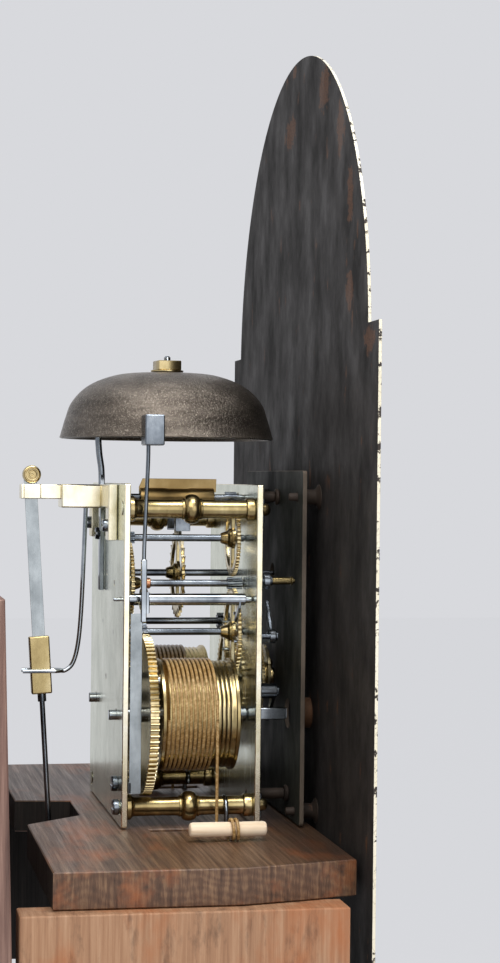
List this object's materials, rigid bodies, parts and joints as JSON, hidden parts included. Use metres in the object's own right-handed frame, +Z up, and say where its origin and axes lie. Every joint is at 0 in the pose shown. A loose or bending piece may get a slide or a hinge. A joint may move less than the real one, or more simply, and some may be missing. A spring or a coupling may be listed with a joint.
{
  "type": "longcase clock movement",
  "caption": "Brass weight-driven pendulum clock movement with bell, on its wooden seatboard and case top, behind an arched painted dial.",
  "frame": {"origin": "middle of the base: the plane of the cut lower ends of the case cheeks and backboard, at the middle of the overall width and depth", "axes": "+Z up, -Y towards the viewer of the dial, +X to the right as seen from the dial"},
  "size_m": [0.344, 0.1712, 0.4778],
  "materials": {
    "plate_brass": "polished, faintly tarnished",
    "wheel_brass": "polished",
    "bell_bronze": "rough cast, dark patina",
    "steel": "darkened, worn",
    "bright_steel": "polished",
    "blued_steel": "blued",
    "iron": "black, rust flecks",
    "dial_paint": "cream paint, rusty bare back",
    "gut": "twisted gut",
    "dark_wood": "dark stained, rough",
    "pine": "bare, aged",
    "peg_wood": "turned, bare"
  },
  "bodies": {
    "frame": {"back_plate": "plate_brass", "front_plate": "plate_brass", "pillar_top_left": "wheel_brass", "pillar_top_right": "wheel_brass", "pillar_low_left": "wheel_brass", "pillar_low_right": "wheel_brass", "false_plate": "iron", "dial": "dial_paint", "back_cock": "wheel_brass", "seatboard": "dark_wood", "left_cheek": "pine", "right_cheek": "pine", "backboard": "dark_wood", "left_seat_hook": "steel", "right_seat_hook": "steel", "bell": "bell_bronze", "bell_nut": "wheel_brass", "bell_stand": "steel", "hammer_spring": "bright_steel", "suspension_clamp": "wheel_brass", "strike_line": "gut", "strike_line_winding": "gut", "going_line": "gut", "going_line_winding": "gut", "strike_toggle": "peg_wood", "going_toggle": "peg_wood"},
    "centre_group": {"centre_wheel": "wheel_brass", "centre_wheel_arbor": "steel", "minute_hand": "blued_steel"},
    "going_great": {"going_great_wheel": "wheel_brass"},
    "going_drum": {"going_barrel": "wheel_brass"},
    "third_group": {"third_wheel": "wheel_brass", "third_wheel_arbor": "steel"},
    "escape_group": {"escape_wheel": "wheel_brass", "escape_wheel_arbor": "steel", "seconds_hand": "blued_steel"},
    "minute_group": {"minute_wheel": "wheel_brass"},
    "hour_group": {"hour_wheel": "wheel_brass", "hour_hand": "blued_steel"},
    "hoop_group": {"hoop_wheel": "wheel_brass", "hoop_wheel_arbor": "steel"},
    "pin_group": {"pin_wheel": "wheel_brass", "pin_wheel_arbor": "steel"},
    "strike_great": {"strike_great_wheel": "wheel_brass"},
    "strike_drum": {"strike_barrel": "wheel_brass"},
    "warning_group": {"warning_wheel": "wheel_brass", "warning_wheel_arbor": "steel"},
    "fly_group": {"fly": "wheel_brass", "fly_arbor": "steel"},
    "pendulum": {"suspension_spring": "bright_steel", "pendulum_block": "wheel_brass", "pendulum_rod": "steel"},
    "pallets": {"pallet_arbor": "steel", "crutch": "steel"},
    "hammer_group": {"hammer": "steel", "hammer_arbor": "bright_steel"},
    "rack_body": {"rack": "steel"},
    "rack_hook_body": {"rack_hook": "steel"},
    "lifting_body": {"lifting_piece": "steel"}
  },
  "joints": [
    {"name": "hands_turn", "type": "hinge", "parent": "frame", "child": "centre_group", "pos_m": [0, -0.0127, 0.1724], "axis": [0, 1, 0], "continuous": true},
    {"name": "going_great_turn", "type": "hinge", "parent": "frame", "child": "going_great", "pos_m": [0.04, 0.0043, 0.158], "axis": [0, 1, 0], "continuous": true},
    {"name": "third_wheel_turn", "type": "hinge", "parent": "frame", "child": "third_group", "pos_m": [0.0145, -0.0127, 0.1985], "axis": [0, 1, 0], "continuous": true},
    {"name": "escape_wheel_turn", "type": "hinge", "parent": "frame", "child": "escape_group", "pos_m": [0, -0.0177, 0.2232], "axis": [0, 1, 0], "continuous": true},
    {"name": "minute_wheel_turn", "type": "hinge", "parent": "frame", "child": "minute_group", "pos_m": [0.0203, -0.0487, 0.167], "axis": [0, 1, 0], "continuous": true},
    {"name": "hour_hand_turn", "type": "hinge", "parent": "frame", "child": "hour_group", "pos_m": [0, -0.0577, 0.1724], "axis": [0, 1, 0], "continuous": true},
    {"name": "hoop_wheel_turn", "type": "hinge", "parent": "frame", "child": "hoop_group", "pos_m": [-0.028, -0.0127, 0.2194], "axis": [0, 1, 0], "continuous": true},
    {"name": "strike_great_turn", "type": "hinge", "parent": "frame", "child": "strike_great", "pos_m": [-0.04, 0.0043, 0.158], "axis": [0, 1, 0], "continuous": true},
    {"name": "pin_wheel_turn", "type": "hinge", "parent": "frame", "child": "pin_group", "pos_m": [-0.0255, -0.0407, 0.196], "axis": [0, 1, 0], "continuous": true},
    {"name": "warning_wheel_turn", "type": "hinge", "parent": "frame", "child": "warning_group", "pos_m": [-0.031, -0.0127, 0.2412], "axis": [0, 1, 0], "continuous": true},
    {"name": "fly_turn", "type": "hinge", "parent": "frame", "child": "fly_group", "pos_m": [-0.027, -0.0127, 0.2608], "axis": [0, 1, 0], "continuous": true},
    {"name": "strike_drum_turn", "type": "hinge", "parent": "frame", "child": "strike_drum", "pos_m": [-0.04, -0.0197, 0.158], "axis": [0, 1, 0], "continuous": true},
    {"name": "going_drum_turn", "type": "hinge", "parent": "frame", "child": "going_drum", "pos_m": [0.04, -0.0197, 0.158], "axis": [0, 1, 0], "continuous": true},
    {"name": "pendulum_swing", "type": "hinge", "parent": "frame", "child": "pendulum", "pos_m": [0, 0.0547, 0.258], "axis": [0, 1, 0], "range_deg": [-3.5, 3.5]},
    {"name": "pallets_rock", "type": "hinge", "parent": "frame", "child": "pallets", "pos_m": [0, -0.0127, 0.258], "axis": [0, 1, 0], "range_deg": [-3.5, 3.5]},
    {"name": "hammer_swing", "type": "hinge", "parent": "frame", "child": "hammer_group", "pos_m": [-0.052, -0.0127, 0.213], "axis": [0, 1, 0], "range_deg": [-12, 1.5], "stiffness_Nm_per_rad": 0.03, "springref_deg": 1.72},
    {"name": "rack_drop", "type": "hinge", "parent": "frame", "child": "rack_body", "pos_m": [-0.034, -0.0507, 0.168], "axis": [0, 1, 0], "range_deg": [-28, 0]},
    {"name": "rack_hook_lift", "type": "hinge", "parent": "frame", "child": "rack_hook_body", "pos_m": [-0.057, -0.0507, 0.222], "axis": [0, 1, 0], "range_deg": [-8, 0]},
    {"name": "lifting_piece_lift", "type": "hinge", "parent": "frame", "child": "lifting_body", "pos_m": [-0.057, -0.0527, 0.196], "axis": [0, 1, 0], "range_deg": [-6, 0]}
  ],
  "couplings": [
    {"joint": "going_great_turn", "follows": "hands_turn", "ratio": -0.083333},
    {"joint": "third_wheel_turn", "follows": "hands_turn", "ratio": -7.5},
    {"joint": "escape_wheel_turn", "follows": "hands_turn", "ratio": 60},
    {"joint": "minute_wheel_turn", "follows": "hands_turn", "ratio": -1},
    {"joint": "hour_hand_turn", "follows": "hands_turn", "ratio": 0.083333},
    {"joint": "strike_great_turn", "follows": "hoop_wheel_turn", "ratio": 0.011905},
    {"joint": "pin_wheel_turn", "follows": "hoop_wheel_turn", "ratio": -0.125},
    {"joint": "warning_wheel_turn", "follows": "hoop_wheel_turn", "ratio": -8},
    {"joint": "fly_turn", "follows": "hoop_wheel_turn", "ratio": 64},
    {"joint": "pallets_rock", "follows": "pendulum_swing", "ratio": 1}
  ]
}
